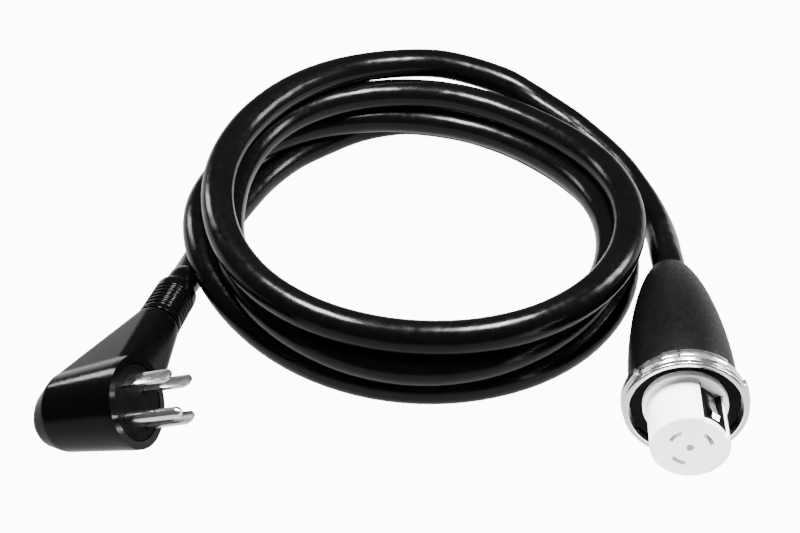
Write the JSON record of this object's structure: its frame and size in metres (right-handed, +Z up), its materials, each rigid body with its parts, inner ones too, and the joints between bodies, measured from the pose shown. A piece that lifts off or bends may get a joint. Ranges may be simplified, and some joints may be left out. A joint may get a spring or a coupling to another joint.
{
  "type": "shore power cord",
  "caption": "Heavy black shore power cord in a round coil, with a moulded right-angle four-prong plug and a booted locking connector.",
  "frame": {"origin": "on the floor, at the middle of the base of the box round the plug and the connector", "axes": "+Z up from the floor; +Y from the plug and the connector towards the coil; +X from the plug towards the connector"},
  "size_m": [0.404, 0.3667, 0.082],
  "materials": {
    "black_rubber": "satin",
    "cord_jacket": "semi-gloss",
    "plug_vinyl": "semi-gloss",
    "black_nylon": "satin",
    "white_nylon": "satin",
    "nickel_plate": "polished",
    "brass": "satin",
    "zinc_steel": "satin",
    "wire_black": "satin",
    "wire_red": "satin",
    "wire_white": "satin",
    "wire_green": "satin"
  },
  "bodies": {
    "root": {"connector_boot": "black_rubber", "weather_gasket": "black_rubber", "cord_coil": "cord_jacket", "cord_tail_plug": "cord_jacket", "cord_tail_connector": "cord_jacket", "cord_end_in_plug": "cord_jacket", "cord_end_in_connector": "cord_jacket", "plug_shell": "plug_vinyl", "strain_relief": "plug_vinyl", "plug_face": "black_nylon", "terminal_housing": "black_nylon", "cord_clamp_upper": "black_nylon", "cord_clamp_lower": "black_nylon", "contact_core": "white_nylon", "hot_blade_upper": "nickel_plate", "hot_blade_lower": "nickel_plate", "neutral_blade": "nickel_plate", "ground_pin": "nickel_plate", "line_contact_1": "nickel_plate", "line_contact_2": "nickel_plate", "neutral_contact": "nickel_plate", "ground_contact": "nickel_plate", "hot_terminal_upper": "brass", "hot_terminal_lower": "brass", "neutral_terminal": "brass", "ground_terminal": "brass", "terminal_1": "brass", "terminal_2": "brass", "terminal_3": "brass", "terminal_4": "brass", "terminal_screw_1": "zinc_steel", "terminal_screw_2": "zinc_steel", "terminal_screw_3": "zinc_steel", "terminal_screw_4": "zinc_steel", "core_screw_1": "zinc_steel", "core_screw_2": "zinc_steel", "core_screw_3": "zinc_steel", "clamp_screw_1": "zinc_steel", "clamp_screw_2": "zinc_steel", "plug_wire_black": "wire_black", "connector_wire_black": "wire_black", "plug_wire_red": "wire_red", "connector_wire_red": "wire_red", "plug_wire_white": "wire_white", "connector_wire_white": "wire_white", "plug_wire_green": "wire_green", "connector_wire_green": "wire_green"},
    "locking_ring": {"locking_ring": "nickel_plate"}
  },
  "joints": [
    {"name": "locking_ring_turn", "type": "hinge", "parent": "root", "child": "locking_ring", "pos_m": [0.16405, -0.0501, 0.0377], "axis": [-0.1229, -0.9871, 0.1028], "continuous": true}
  ]
}
